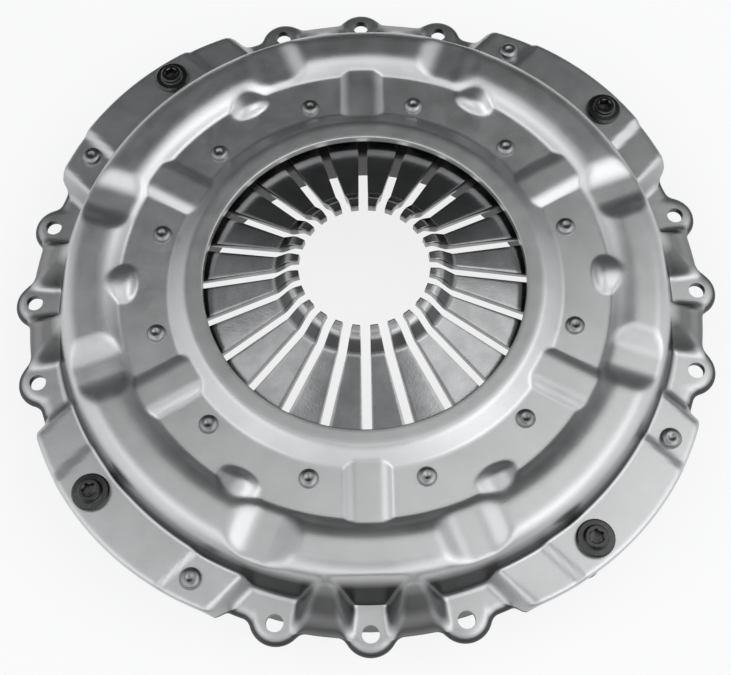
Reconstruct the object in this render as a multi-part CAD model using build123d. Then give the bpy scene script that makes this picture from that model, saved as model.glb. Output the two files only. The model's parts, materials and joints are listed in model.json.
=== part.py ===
from build123d import *
import os
from math import atan, cos, hypot, radians, sin, tan

# A diaphragm-spring clutch pressure plate for a 430 mm commercial-vehicle clutch.
# Millimetres. +Z is the clutch axis and points away from the flywheel.
# The origin is the centre of the cover's mounting face, which seats on the flywheel rim at z = 0.

os.makedirs("parts", exist_ok=True)

# --- Cover sheet and its turned outline (radius, height of the upper surface) ---
sheet = 5.0                     # thickness of the pressed sheet
opening_r = 106.0               # central opening
lip_crest_r = 118.0             # outer end of the raised lip's plateau
lip_crest_z = 38.4
lip_fall = 0.1                  # the plateau falls this much per mm towards the opening
lip_shoulder_radius = 8.0
lip_foot_r = 130.0              # the lip's slope meets the pads here
lip_foot_radius = 2.5
pad_z = 31.5                    # upper face of the six spring pads
ridge_foot_r = 162.3            # the pads end at the ridge's inner flank
ridge_foot_radius = 2.0
ridge_flank_angle = 50.0        # inner flank, degrees from flat
ridge_z = 39.5                  # crown of the ridge
ridge_inner_radius = 19.0
ridge_outer_r = 198.0           # corner of crown and wall before rounding
ridge_outer_radius = 13.0
wall_lean = 10.0                # the steep wall meets the flange this far outside that corner
wall_foot_radius = 4.0
flange_z = sheet                # upper face of the bolting flange

# --- Six bridges between the pads ---
bridge_count = 6
bridge_z = 34.5
bridge_half_top = 11.5
bridge_run = 1.2                # sideways run of a bridge's flank per mm of height
bridge_start_r = 112.0
bridge_end_r = 172.0
bridge_bury = 12.0              # the bridges' forms start this far below the pads

# --- Six barrel-shaped gussets at the pads' middle ---
gusset_count = 6
gusset_axis_z = 18.0
gusset_radius = 19.0
gusset_nose_r = 150.0
gusset_nose_radius = 8.0
gusset_end_inset = 12.0         # the gussets' forms end this far inside the ridge's outer corner

# --- Eight vent grooves across the ridge ---
groove_offset_angle = 20.0      # each side of the four lobe-group axes
groove_floor_z = 34.0
groove_half_floor = 11.0
groove_run = 1.5
groove_start_r = 163.0

# --- Four groups of three bolting lobes ---
group_count = 4
lobe_pitch_angle = 15.0
wall_to_bolts = 17.0            # from the wall's foot out to the bolt circle
flange_hole_d = 11.0
lobe_overhang = 13.5            # a lobe's tip lies this far outside the bolt circle
lobe_radius = 17.0
valley_overhang = 2.5           # so does the flange edge between lobes
valley_radius = 7.0
pocket_half_width = 12.0        # pocket behind the middle lobe
pocket_draft = 24.0             # inner wall, degrees from vertical
rib_half_foot = 13.5            # ribs between lobes
rib_flank_draft = 15.0
rib_top_z = 36.5                # start of the rib's sloping back, at the ridge's outer corner
rib_peak_rise = 6.0             # the rib's flanks are drawn this far above the start of its back
rib_bury = 12.0                 # the rib's form starts this far inside the ridge's outer corner
rib_overhang = 1.0              # the sloping back ends this far outside the bolt circle

# --- Four raised strap seats on the diagonals ---
seat_z = 15.5
seat_half_top = 80.0
seat_run = 0.667
seat_mid_z = 18.0               # raised middle zone that carries the bolt heads
seat_mid_half = 47.5
seat_mid_run = 1.0
seat_edge_radius = 193.0        # outer edge, an arc about a point out on the diagonal
seat_overhang = 12.0            # the edge lies this far outside the bolt circle
seat_edge_half = 84.0
seat_bury = 12.0                # the seats' forms start this far inside the ridge's outer corner

# --- Diaphragm spring ---
finger_count = 24
spring_thickness = 5.0
spring_outer_r = 174.0
spring_tip_r = 42.3
spring_slope = 0.28             # rise of the spring's cone per mm towards the axis
finger_bend_r = 61.0
finger_bend_radius = 6.0
finger_knee_r = 50.0
finger_knee_radius = 4.0
finger_ramp = 1.03              # rise per mm between bend and knee
finger_tip_rise = 0.12          # rise per mm of the contact tip
finger_slot_width = 5.0
window_start_r = 129.5
window_end_r = 151.0
window_width = 14.0
slot_hole_r = 127.0
slot_hole_d = 13.0

# --- Fulcrum rings and the rivets that carry them ---
rivet_circle_r = 140.0
fulcrum_rivet_count = 12
rivet_shank_d = 8.5
rivet_head_d = 12.5
rivet_head_height = 3.2
rivet_dimple_d = 4.0
rivet_dimple_depth = 0.8
rivet_collar_d = 20.0
rivet_collar_height = 4.0
rivet_side_share = 0.35         # of a head's height: the straight side
rivet_brow_share = 0.8          # of a head's height, where the dome is the next share of its diameter out
rivet_brow_reach = 0.43
rivet_crown_reach = 0.3         # of a head's diameter: the flat crown's radius
ring_wire_d = 5.0
ring_to_shank = 0.25            # clearance between a ring and the rivet shanks
ring_seat_gap = 0.05            # clearance between ring and cover, spring or collar
shank_hole_gap = 0.05           # radial clearance of a shank in its hole

# --- Pressure plate casting ---
plate_inner_r = 122.0
plate_to_strap_bolt = 2.4       # from the ring's outer edge out to the strap bolts, along a diagonal
plate_back_z = -10.0
plate_face_z = -40.0            # friction face
plate_edge_chamfer = 1.5
plate_back_radius = 3.0
load_ridge_r = 170.0            # the spring presses on this ridge
load_ridge_radius = 6.0
load_ridge_foot_half = 9.0
load_ridge_root = 2.0           # the ridge is rooted this deep in the ring
load_ridge_gap = 0.1
load_gap_count = 12             # vent gaps in the load ridge
load_gap_width = 26.0
load_gap_floor_z = -6.0
lug_width = 34.0
lug_inboard = 23.4              # from the strap bolt inwards
lug_outboard = 13.6             # from the strap bolt outwards
lug_top_z = 0.0
lug_height = 13.0
lug_corner_radius = 9.0

# --- Drive straps, their bolts and rivets ---
wall_to_strap_bolt = 11.4       # from the wall's foot, measured along a diagonal
strap_bolt_across = -24.6       # measured across it
wall_to_strap_rivet = 4.4
strap_rivet_across = 58.9
strap_width = 20.0
strap_leaf = 1.0
strap_leaf_count = 3
strap_flat = 13.0               # flat length at each end, from the hole's centre
strap_bolt_hole_d = 10.5
strap_rivet_shank_d = 9.0
strap_rivet_head_d = 13.8
strap_rivet_head_height = 4.0
strap_rivet_tail_d = 15.0
strap_rivet_tail_height = 3.5
bolt_shank_d = 10.0
bolt_flange_d = 24.0
bolt_flange_height = 3.0
bolt_flange_chamfer = 1.0
bolt_hub_d = 14.6
bolt_hub_height = 3.6
bolt_hub_chamfer = 0.7
bolt_socket_across = 8.0
bolt_socket_depth = 4.0
bolt_grip_depth = 22.0          # thread engagement below the lug's face
bolt_hole_extra = 3.0
bolt_head_gap = 0.3             # bolt head above the strap seat
bolt_clearance_hole_d = 19.0
sleeve_d = 16.0
sleeve_bore_d = 10.5

# --- Construction limits, outside every finished surface ---
die_inner_r = 80.0
die_margin = 23.5               # past the lobes' tips
die_floor_z = -30.0
die_top_z = 60.0

# --- Heights and radii that follow from the sizes above ---
pad_under_z = pad_z - sheet
wall_foot_r = ridge_outer_r + wall_lean
gusset_end_r = ridge_outer_r - gusset_end_inset
bolt_circle_r = wall_foot_r + wall_to_bolts
seat_edge_r = bolt_circle_r + seat_overhang
strap_bolt_along = wall_foot_r + wall_to_strap_bolt
strap_rivet_along = wall_foot_r + wall_to_strap_rivet
plate_outer_r = strap_bolt_along - plate_to_strap_bolt
lobe_tip_r = bolt_circle_r + lobe_overhang
valley_r = bolt_circle_r + valley_overhang
rib_end_r = bolt_circle_r + rib_overhang
die_outer_r = lobe_tip_r + die_margin
ring_r = rivet_circle_r - rivet_shank_d / 2 - ring_to_shank - ring_wire_d / 2
spring_angle = atan(spring_slope)
upper_ring_z = pad_under_z - ring_wire_d / 2 - ring_seat_gap
ring_to_spring = (ring_wire_d / 2 + spring_thickness / 2 + ring_seat_gap) / cos(spring_angle)
spring_pivot_z = upper_ring_z - ring_to_spring
lower_ring_z = spring_pivot_z - ring_to_spring
collar_top_z = lower_ring_z - ring_wire_d / 2 - ring_seat_gap
load_crest_z = (spring_pivot_z - spring_slope * (load_ridge_r - ring_r)
                - (load_ridge_radius + spring_thickness / 2 + load_ridge_gap) / cos(spring_angle))
strap_stack = strap_leaf * strap_leaf_count
strap_bolt_z = lug_top_z
strap_rivet_z = seat_z - sheet - strap_stack
strap_length = hypot(strap_rivet_along - strap_bolt_along, strap_rivet_across - strap_bolt_across)
bolt_head_z = seat_mid_z + bolt_head_gap
diagonals = [45 + 90 * k for k in range(group_count)]


def radial_plane(angle):
    """A plane square to a radius: local x runs round the axis, local y is +Z."""
    a = radians(angle)
    return Plane(origin=(0, 0, 0), x_dir=(-sin(a), cos(a), 0), z_dir=(cos(a), sin(a), 0))


def radial_bar(section, angle, start_r, end_r):
    """Extrudes a section drawn square to a radius from start_r to end_r."""
    return extrude(radial_plane(angle).offset(start_r) * section, amount=end_r - start_r)


def turned(profile):
    """Revolves a profile drawn as (radius, height)."""
    return revolve(Plane.XZ * profile, axis=Axis.Z)


def hat(top_z, half_top, run, bottom_z):
    """A trapezoid with sloping flanks, standing on bottom_z."""
    half_bottom = half_top + run * (top_z - bottom_z)
    return Polygon((-half_bottom, bottom_z), (half_bottom, bottom_z), (half_top, top_z), (-half_top, top_z),
                   align=None)


def trough(floor_z, half_floor, run, top_z):
    """A trapezoid that opens upwards from its floor."""
    half_top = half_floor + run * (top_z - floor_z)
    return Polygon((-half_floor, floor_z), (half_floor, floor_z), (half_top, top_z), (-half_top, top_z),
                   align=None)


def turned_section():
    """The cover's outer form as a solid of revolution, down to below the flange."""
    crown_start_r = ridge_foot_r + (ridge_z - pad_z) / tan(radians(ridge_flank_angle))
    points = [
        (die_inner_r, die_floor_z),
        (die_inner_r, lip_crest_z - lip_fall * (lip_crest_r - die_inner_r)),
        (lip_crest_r, lip_crest_z),
        (lip_foot_r, pad_z),
        (ridge_foot_r, pad_z),
        (crown_start_r, ridge_z),
        (ridge_outer_r, ridge_z),
        (wall_foot_r, flange_z),
        (die_outer_r, flange_z),
        (die_outer_r, die_floor_z),
    ]
    radii = [0, 0, lip_shoulder_radius, lip_foot_radius, ridge_foot_radius, ridge_inner_radius,
             ridge_outer_radius, wall_foot_radius, 0, 0]
    return make_face(FilletPolyline(*points, radius=radii, close=True))


def gusset(angle, inset):
    """A barrel along a radius with a rounded nose; inset shrinks it all over."""
    length = gusset_end_r - gusset_nose_r - inset
    barrel = extrude(Circle(gusset_radius - inset), amount=length)
    nose = barrel.edges().group_by(Axis.Z)[0]
    barrel = fillet(nose, gusset_nose_radius - inset)
    place = radial_plane(angle).offset(gusset_nose_r + inset)
    return place * Location((0, gusset_axis_z, 0)) * barrel


def pocket(angle, inset):
    """The drafted pocket behind a group's middle lobe."""
    across = offset(trough(flange_z, pocket_half_width, tan(radians(rib_flank_draft)), die_top_z), inset)
    back_r = wall_foot_r - (die_top_z - flange_z) * tan(radians(pocket_draft))
    along = Polygon((wall_foot_r, flange_z), (die_outer_r, flange_z), (die_outer_r, die_top_z),
                    (back_r, die_top_z), align=None)
    along = offset(along, inset)
    half = pocket_half_width * 4
    side = extrude(Plane.XZ * along, amount=half, both=True)
    return radial_bar(across, angle, back_r, die_outer_r) & Rot(0, 0, angle) * side


def lobe_rib(angle, inset):
    """A rib that props the wall between two lobes, with a sloping back."""
    run = tan(radians(rib_flank_draft))
    rise = (rib_top_z - flange_z) / (rib_end_r - ridge_outer_r)
    peak_z = rib_top_z + rib_peak_rise
    half_peak = rib_half_foot - run * (peak_z - flange_z)
    across = offset(hat(peak_z, half_peak, run, die_floor_z), -inset)
    start_r = ridge_outer_r - rib_bury
    along = Polygon((start_r, die_floor_z), (rib_end_r + (flange_z - die_floor_z) / rise, die_floor_z),
                    (ridge_outer_r, rib_top_z), (start_r, rib_top_z), align=None)
    along = offset(along, -inset)
    side = extrude(Plane.XZ * along, amount=rib_half_foot * 2, both=True)
    return radial_bar(across, angle, start_r, die_outer_r) & Rot(0, 0, angle) * side


def die(inset):
    """The solid below the sheet's upper surface, or below its lower surface when inset is the sheet."""
    form = turned(offset(turned_section(), -inset) if inset else turned_section())
    group_axes = [90 * k for k in range(group_count)]
    raised = []
    for k in range(bridge_count):
        section = offset(hat(bridge_z, bridge_half_top, bridge_run, pad_under_z - bridge_bury), -inset)
        raised.append(radial_bar(section, 360 / bridge_count * (k + 0.5), bridge_start_r, bridge_end_r))
    for k in range(gusset_count):
        raised.append(gusset(360 / gusset_count * k, inset))
    for angle in diagonals:
        seat = offset(hat(seat_z, seat_half_top, seat_run, die_floor_z), -inset)
        middle = offset(hat(seat_mid_z, seat_mid_half, seat_mid_run, die_floor_z), -inset)
        raised.append(radial_bar(seat, angle, ridge_outer_r - seat_bury, die_outer_r))
        raised.append(radial_bar(middle, angle, ridge_outer_r - seat_bury, die_outer_r))
    form += raised
    form -= [pocket(angle, inset) for angle in group_axes]
    ribs = []
    for angle in group_axes:
        for side in (-1, 1):
            ribs.append(lobe_rib(angle + side * lobe_pitch_angle / 2, inset))
    form += ribs
    grooves = []
    for angle in group_axes:
        for side in (-1, 1):
            section = offset(trough(groove_floor_z, groove_half_floor, groove_run, die_top_z), inset)
            grooves.append(radial_bar(section, angle + side * groove_offset_angle,
                                      groove_start_r - inset, die_outer_r))
    return form - grooves


def flange_outline():
    """The cover's outer edge: twelve lobes in four groups, and four arcs at the strap seats."""
    sketch = Sketch() + Circle(valley_r)
    for k in range(group_count):
        for side in (-1, 0, 1):
            turn = Rot(0, 0, 90 * k + side * lobe_pitch_angle)
            reach = lobe_tip_r - lobe_radius
            sketch += turn * Pos(reach, 0) * Circle(lobe_radius)
            sketch += turn * Pos(reach - lobe_radius / 2, 0) * Rectangle(lobe_radius, lobe_radius * 2)
    for angle in diagonals:
        edge = Pos(seat_edge_r - seat_edge_radius, 0) * Circle(seat_edge_radius)
        band = Pos(seat_edge_r / 2, 0) * Rectangle(seat_edge_r * 2, seat_edge_half * 2)
        half = Pos(seat_edge_r, 0) * Rectangle(seat_edge_r, seat_edge_r * 2)
        sketch += Rot(0, 0, angle) * (edge & band & half)
    return offset(offset(sketch, valley_radius), -valley_radius)


def on_diagonals(along, across):
    """Places on the four diagonals, each turned to its own diagonal."""
    return [Rot(0, 0, angle) * Pos(along, across, 0) for angle in diagonals]


def drill(places, diameter, low_z, high_z):
    """Cylinders from low_z to high_z at each place."""
    bore = Pos(0, 0, low_z) * extrude(Circle(diameter / 2), amount=high_z - low_z)
    return [place * bore for place in places]


def make_cover():
    """The pressed cover: the sheet between two dies, trimmed and pierced."""
    shell = die(0) - die(sheet)
    blank = extrude(flange_outline() - Circle(opening_r), amount=die_top_z)
    shell = shell & blank
    lobes = [Rot(0, 0, 90 * k + side * lobe_pitch_angle) * Pos(bolt_circle_r, 0, 0)
             for k in range(group_count) for side in (-1, 0, 1)]
    holes = drill(lobes, flange_hole_d, die_floor_z, die_top_z)
    holes += drill(rivet_places(), rivet_shank_d + 2 * shank_hole_gap, 0, die_top_z)
    holes += drill(on_diagonals(strap_bolt_along, strap_bolt_across), bolt_clearance_hole_d, 0, die_top_z)
    holes += drill(on_diagonals(strap_rivet_along, strap_rivet_across),
                   strap_rivet_shank_d + 2 * shank_hole_gap, 0, die_top_z)
    return shell - holes


def rivet_places():
    """Twelve places on the rivet circle, two to a pad."""
    step = 360 / fulcrum_rivet_count
    return [Rot(0, 0, step * (k + 0.5)) * Pos(rivet_circle_r, 0, 0) for k in range(fulcrum_rivet_count)]


def rivet(shank_d, low_z, seat_top_z, head_d, head_height, tail_d, tail_height):
    """A rivet along Z: tail below low_z, shank, and a low domed head with a dimple above seat_top_z."""
    crown = head_d * rivet_crown_reach
    top = seat_top_z + head_height
    side_z = seat_top_z + head_height * rivet_side_share
    brow_z = seat_top_z + head_height * rivet_brow_share
    profile = make_face(
        Polyline((0, low_z - tail_height), (tail_d / 2, low_z - tail_height), (tail_d / 2, low_z),
                 (shank_d / 2, low_z), (shank_d / 2, seat_top_z), (head_d / 2, seat_top_z),
                 (head_d / 2, side_z))
        + ThreePointArc((head_d / 2, side_z), (head_d * rivet_brow_reach, brow_z), (crown, top))
        + Polyline((crown, top), (rivet_dimple_d / 2, top), (0, top - rivet_dimple_depth),
                   (0, low_z - tail_height)))
    return turned(profile)


def make_fulcrum_rivets():
    """The twelve shouldered rivets that clamp both rings and the spring to the pads."""
    one = rivet(rivet_shank_d, collar_top_z, pad_z, rivet_head_d, rivet_head_height,
                rivet_collar_d, rivet_collar_height)
    return [place * one for place in rivet_places()]


def make_ring(z):
    """A wire ring that the spring rocks on."""
    return turned(Pos(ring_r, z) * Circle(ring_wire_d / 2))


def make_spring():
    """The diaphragm spring: a coned disc, slotted into fingers that turn up towards their tips."""
    def cone_z(r):
        return spring_pivot_z + spring_slope * (ring_r - r)

    end = spring_thickness / 2
    bend_z = cone_z(finger_bend_r)
    knee_z = bend_z + finger_ramp * (finger_bend_r - finger_knee_r)
    tip_r = spring_tip_r + end
    tip_z = knee_z + finger_tip_rise * (finger_knee_r - tip_r)
    rim_r = spring_outer_r - end
    path = FilletPolyline((rim_r, cone_z(rim_r)), (finger_bend_r, bend_z), (finger_knee_r, knee_z),
                          (tip_r, tip_z), radius=[finger_bend_radius, finger_knee_radius])
    disc = turned(make_face(offset(path, amount=end)))
    cuts = []
    for k in range(finger_count):
        turn = Rot(0, 0, 360 / finger_count * k)
        slot_end = window_start_r + finger_slot_width if k % 2 else slot_hole_r
        slot = Pos(slot_end / 2, 0) * Rectangle(slot_end, finger_slot_width)
        if k % 2:
            relief = Pos((window_start_r + window_end_r) / 2, 0)
            relief *= RectangleRounded(window_end_r - window_start_r, window_width, finger_slot_width)
        else:
            relief = Pos(slot_hole_r, 0) * Circle(slot_hole_d / 2)
        cuts.append(turn * extrude(slot + relief, amount=die_top_z * 2, both=True))
    return disc - cuts


def make_plate():
    """The cast pressure plate: friction ring, vented load ridge and four strap lugs."""
    ring = make_face(Polyline((plate_inner_r, plate_back_z), (plate_inner_r, plate_face_z),
                              (plate_outer_r, plate_face_z), (plate_outer_r, plate_back_z), close=True))
    corners = ring.vertices().group_by(Axis.Y)
    ring = chamfer(corners[0], plate_edge_chamfer)
    ring = fillet(ring.vertices().group_by(Axis.Y)[-1], plate_back_radius)
    crest = Pos(load_ridge_r, load_crest_z) * Circle(load_ridge_radius)
    web = Pos(load_ridge_r, 0) * Polygon(
        (-load_ridge_foot_half, plate_back_z - load_ridge_root),
        (load_ridge_foot_half, plate_back_z - load_ridge_root),
        (load_ridge_radius, load_crest_z), (-load_ridge_radius, load_crest_z), align=None)
    ridge = turned(crest + web)
    gaps = []
    for k in range(load_gap_count):
        gap = Pos(load_ridge_r, 0) * Rectangle(load_ridge_foot_half * 4, load_gap_width)
        gap = Pos(0, 0, load_gap_floor_z) * extrude(gap, amount=die_top_z)
        gaps.append(Rot(0, 0, 360 / load_gap_count * k) * gap)
    casting = turned(ring) + (ridge - gaps)
    lug = Pos((lug_outboard - lug_inboard) / 2, 0) * RectangleRounded(
        lug_inboard + lug_outboard, lug_width, lug_corner_radius)
    lug = Pos(0, 0, lug_top_z - lug_height) * extrude(lug, amount=lug_height)
    places = on_diagonals(strap_bolt_along, strap_bolt_across)
    casting += [place * lug for place in places]
    hole_low = lug_top_z - bolt_grip_depth - bolt_hole_extra
    return casting - drill(places, bolt_shank_d + 2 * shank_hole_gap, hole_low, die_top_z)


def strap_leaf_shape(level):
    """One leaf, flat at both ends with an easy S-bend between, its bolt hole at the origin."""
    low = strap_bolt_z + level * strap_leaf
    high = strap_rivet_z + level * strap_leaf
    start, end = strap_flat, strap_length - strap_flat
    third = (end - start) / 3
    over = strap_width

    def curve(lift):
        return Bezier((start, low + lift), (start + third, low + lift),
                      (end - third, high + lift), (end, high + lift))

    section = make_face(
        Polyline((start, low), (-over, low), (-over, low + strap_leaf), (start, low + strap_leaf))
        + curve(strap_leaf)
        + Polyline((end, high + strap_leaf), (strap_length + over, high + strap_leaf),
                   (strap_length + over, high), (end, high))
        + curve(0))
    band = extrude(Plane.XZ * section, amount=strap_width, both=True)
    blank = Pos(strap_length / 2, 0) * SlotCenterToCenter(strap_length, strap_width)
    blank -= Circle(strap_bolt_hole_d / 2)
    blank -= Pos(strap_length, 0) * Circle(strap_rivet_shank_d / 2 + shank_hole_gap)
    prism = Pos(0, 0, die_floor_z) * extrude(blank, amount=die_top_z - die_floor_z)
    return band & prism


def strap_places():
    """Places and headings of the four strap packs, from bolt to rivet."""
    heading = Vector(strap_rivet_along - strap_bolt_along, strap_rivet_across - strap_bolt_across, 0)
    turn = Vector(1, 0, 0).get_signed_angle(heading, Vector(0, 0, 1))
    return [place * Rot(0, 0, turn) for place in on_diagonals(strap_bolt_along, strap_bolt_across)]


def make_strap_rivets():
    """Rivets that fix the straps to the cover's strap seats."""
    one = rivet(strap_rivet_shank_d, strap_rivet_z, seat_z, strap_rivet_head_d, strap_rivet_head_height,
                strap_rivet_tail_d, strap_rivet_tail_height)
    return [place * one for place in on_diagonals(strap_rivet_along, strap_rivet_across)]


def make_strap_bolt():
    """A flanged socket bolt, its head resting over the strap seat."""
    flange = extrude(Circle(bolt_flange_d / 2), amount=bolt_flange_height)
    flange = chamfer(flange.edges().group_by(Axis.Z)[-1], bolt_flange_chamfer)
    hub = extrude(Circle(bolt_hub_d / 2), amount=bolt_flange_height + bolt_hub_height)
    hub = chamfer(hub.edges().group_by(Axis.Z)[-1], bolt_hub_chamfer)
    head_top = bolt_flange_height + bolt_hub_height
    socket = RegularPolygon(bolt_socket_across / 2, 6, major_radius=False)
    socket = Pos(0, 0, head_top - bolt_socket_depth) * extrude(socket, amount=bolt_socket_depth)
    reach = bolt_head_z - (lug_top_z - bolt_grip_depth)
    shank = Pos(0, 0, -reach) * extrude(Circle(bolt_shank_d / 2), amount=reach)
    return Pos(0, 0, bolt_head_z) * (flange + hub + shank - socket)


def make_sleeve():
    """The spacer sleeve between strap pack and bolt head, running through the cover."""
    tube = Circle(sleeve_d / 2) - Circle(sleeve_bore_d / 2)
    low = strap_bolt_z + strap_stack
    return Pos(0, 0, low) * extrude(tube, amount=bolt_head_z - low)


def save(name, shape):
    """Writes one node, or a group of like solids as one node."""
    if isinstance(shape, list):
        shape = Compound(children=[piece.solid() for piece in shape])
    export_step(shape, f"parts/{name}.step")


bolt_places = on_diagonals(strap_bolt_along, strap_bolt_across)
save("cover", make_cover())
save("diaphragm_spring", make_spring())
save("upper_fulcrum_ring", make_ring(upper_ring_z))
save("lower_fulcrum_ring", make_ring(lower_ring_z))
save("fulcrum_rivets", make_fulcrum_rivets())
save("pressure_plate", make_plate())
save("strap_rivets", make_strap_rivets())
save("strap_bolts", [place * make_strap_bolt() for place in bolt_places])
save("strap_bolt_sleeves", [place * make_sleeve() for place in bolt_places])
for pack, place in enumerate(strap_places()):
    for level, height in enumerate(("lower", "middle", "upper")[:strap_leaf_count]):
        save(f"drive_strap_{pack + 1}_{height}", place * strap_leaf_shape(level))
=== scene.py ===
import json
from math import cos, pi, radians, sin, sqrt, tan

import bmesh
import bpy
import numpy as np
from mathutils import Matrix, Vector

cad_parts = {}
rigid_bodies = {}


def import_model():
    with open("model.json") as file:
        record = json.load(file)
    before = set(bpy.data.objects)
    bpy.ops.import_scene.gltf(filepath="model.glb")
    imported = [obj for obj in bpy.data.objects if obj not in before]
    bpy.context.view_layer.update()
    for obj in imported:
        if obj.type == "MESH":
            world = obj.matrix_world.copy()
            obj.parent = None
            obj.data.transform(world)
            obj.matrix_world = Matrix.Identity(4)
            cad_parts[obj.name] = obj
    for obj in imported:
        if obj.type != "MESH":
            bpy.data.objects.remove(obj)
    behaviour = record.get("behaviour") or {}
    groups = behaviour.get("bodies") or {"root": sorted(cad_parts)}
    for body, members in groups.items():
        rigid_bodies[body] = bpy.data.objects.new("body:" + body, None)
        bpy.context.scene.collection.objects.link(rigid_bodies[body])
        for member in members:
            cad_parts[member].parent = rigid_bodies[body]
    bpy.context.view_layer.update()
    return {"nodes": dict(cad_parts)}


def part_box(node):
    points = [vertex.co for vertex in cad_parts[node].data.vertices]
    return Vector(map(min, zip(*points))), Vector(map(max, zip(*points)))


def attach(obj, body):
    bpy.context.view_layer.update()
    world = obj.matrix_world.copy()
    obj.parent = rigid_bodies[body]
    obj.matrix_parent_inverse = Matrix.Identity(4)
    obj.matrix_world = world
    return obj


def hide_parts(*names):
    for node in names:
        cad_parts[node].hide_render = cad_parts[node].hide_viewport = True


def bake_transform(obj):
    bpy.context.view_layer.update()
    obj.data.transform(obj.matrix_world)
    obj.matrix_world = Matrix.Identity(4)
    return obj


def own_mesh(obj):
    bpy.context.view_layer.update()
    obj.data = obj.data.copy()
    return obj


# A diaphragm-spring clutch pressure plate. Metres; +Z is the clutch axis; z = 0 is the cover's mounting face.

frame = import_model()


# --- Sizes read from the frame ---
def outer_radius(node):
    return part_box(node)[1][0]


def top_of(node):
    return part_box(node)[1][2]


def foot_of(node):
    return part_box(node)[0][2]


RIDGE_Z = top_of("cover")
PLATE_FACE_Z = foot_of("pressure_plate")
SPRING_OUTER_R = outer_radius("diaphragm_spring")
UPPER_RING_Z = (top_of("upper_fulcrum_ring") + foot_of("upper_fulcrum_ring")) / 2
LOWER_RING_Z = (top_of("lower_fulcrum_ring") + foot_of("lower_fulcrum_ring")) / 2
PIVOT_Z = (UPPER_RING_Z + LOWER_RING_Z) / 2
WIRE = top_of("upper_fulcrum_ring") - foot_of("upper_fulcrum_ring")
RING_R = outer_radius("upper_fulcrum_ring") - WIRE / 2

# --- Cover sheet ---
SHEET = 0.005
OPENING_R = 0.106
LIP_CREST_R, LIP_CREST_Z, LIP_FALL = 0.118, 0.0384, 0.04
LIP_FOOT_R, PAD_Z = 0.130, 0.0315
RIDGE_FOOT_R, RIDGE_FLANK = 0.1623, radians(50)
RIDGE_OUTER_R, WALL_FOOT_R = 0.198, 0.208
CORNER_RADII = (0.008, 0.003, 0.0025, 0.019, 0.013, 0.005)   # from the lip's shoulder to the wall's foot
BRIDGE_Z, BRIDGE_HALF, BRIDGE_RUN = 0.0345, 0.0115, 1.2
BRIDGE_START_R, BRIDGE_END_R = 0.112, 0.172
GUSSET_AXIS_Z, GUSSET_RADIUS, GUSSET_NOSE_R, GUSSET_NOSE_RADIUS = 0.018, 0.019, 0.150, 0.008
GUSSET_END_R = 0.190
GROOVE_ANGLE, GROOVE_FLOOR_Z, GROOVE_HALF, GROOVE_RUN = radians(20), 0.034, 0.011, 1.5
GROOVE_START_R = 0.162
LOBE_PITCH = radians(15)
BOLT_CIRCLE_R, FLANGE_HOLE_R = 0.225, 0.0055
LOBE_TIP_R, LOBE_RADIUS, VALLEY_R, VALLEY_RADIUS = 0.2385, 0.017, 0.2275, 0.007
POCKET_HALF, POCKET_RUN, POCKET_START_R, POCKET_SLOPE = 0.0125, 0.42, 0.208, 1 / tan(radians(18))
POCKET_LIMIT_R = 0.17
RIB_HALF, RIB_RUN = 0.0150, 0.33
RIB_TOP_R, RIB_TOP_Z, RIB_END_R = 0.198, 0.0355, 0.226
RIB_START_R, RIB_FADE = 0.190, 0.012               # a rib rises out of the ridge over this distance
RIB_CREST_HALF, RIB_CREST_LIFT = 0.003, 0.001
SEAT_Z, SEAT_HALF, SEAT_RUN, SEAT_START_R = 0.0155, 0.080, 0.667, 0.12
SEAT_MID_Z, SEAT_MID_HALF = 0.018, 0.0475
SEAT_EDGE_R, SEAT_EDGE_RADIUS = 0.237, 0.193
SEAT_END_ANGLE, SEAT_END_FADE = radians(22.6), radians(1.7)

# How wide the sheet rounds a form's own corners, and its joins with the rest
BRIDGE_ROUND, BRIDGE_JOIN = 0.0040, 0.0006
GUSSET_JOIN = 0.0014
SEAT_ROUND, SEAT_MID_ROUND, SEAT_JOIN = 0.004, 0.0012, 0.005
POCKET_ROUND, POCKET_JOIN = 0.014, 0.008
RIB_ROUND, RIB_JOIN, RIB_JOIN_GROWTH, RIB_JOIN_RUN = 0.014, 0.001, 0.013, 0.014
GROOVE_ROUND, GROOVE_JOIN = 0.0040, 0.0035

# The outer edge rolls down: how far in from the edge, and by how much
ROLL_WIDTH, ROLL_DROP, ROLL_CURVE = 0.0095, 0.0045, 2.4
SEAT_ROLL_WIDTH, SEAT_ROLL_DROP = 0.0035, 0.0018
SEAT_ROLL_END, SEAT_ROLL_FADE = radians(21), radians(3)
OPENING_ROUND = 0.0008

# --- Fasteners; those of the strap seats are placed along and across each diagonal ---
BOLT_AT = (0.2194, -0.0246)
RIVET_AT = (0.2124, 0.0589)
BOLT_HOLE_R = 0.0095
SCREW_CLEARANCE = 0.0003
FULCRUM_RIVET_R = 0.140

# --- Spring and straps ---
FINGERS = 24
SPRING_THICKNESS, SPRING_SLOPE = 0.005, 0.28
LEAF_THICKNESS, LEAF_SHOWN, LEAF_INSET = 0.001, 0.00094, 0.00003    # shown thinner, so that leaves stay apart
LEAF_WIDTH, LEAF_FLAT = 0.020, 0.013               # the leaf is flat this far from each fastener


# --- Mesh helpers ---
def mesh_object(name, vertices, faces, smooth=True):
    mesh = bpy.data.meshes.new(name)
    mesh.from_pydata([tuple(v) for v in vertices], [], [tuple(f) for f in faces])
    mesh.validate()
    piece = bpy.data.objects.new(name, mesh)
    bpy.context.scene.collection.objects.link(piece)
    if smooth:
        mesh.shade_smooth()
    return piece


def crisp(piece, angle):
    """Smooth shading with edges sharper than the angle kept crisp."""
    piece.data.shade_smooth()
    piece.data.set_sharp_from_angle(angle=radians(angle))


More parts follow.
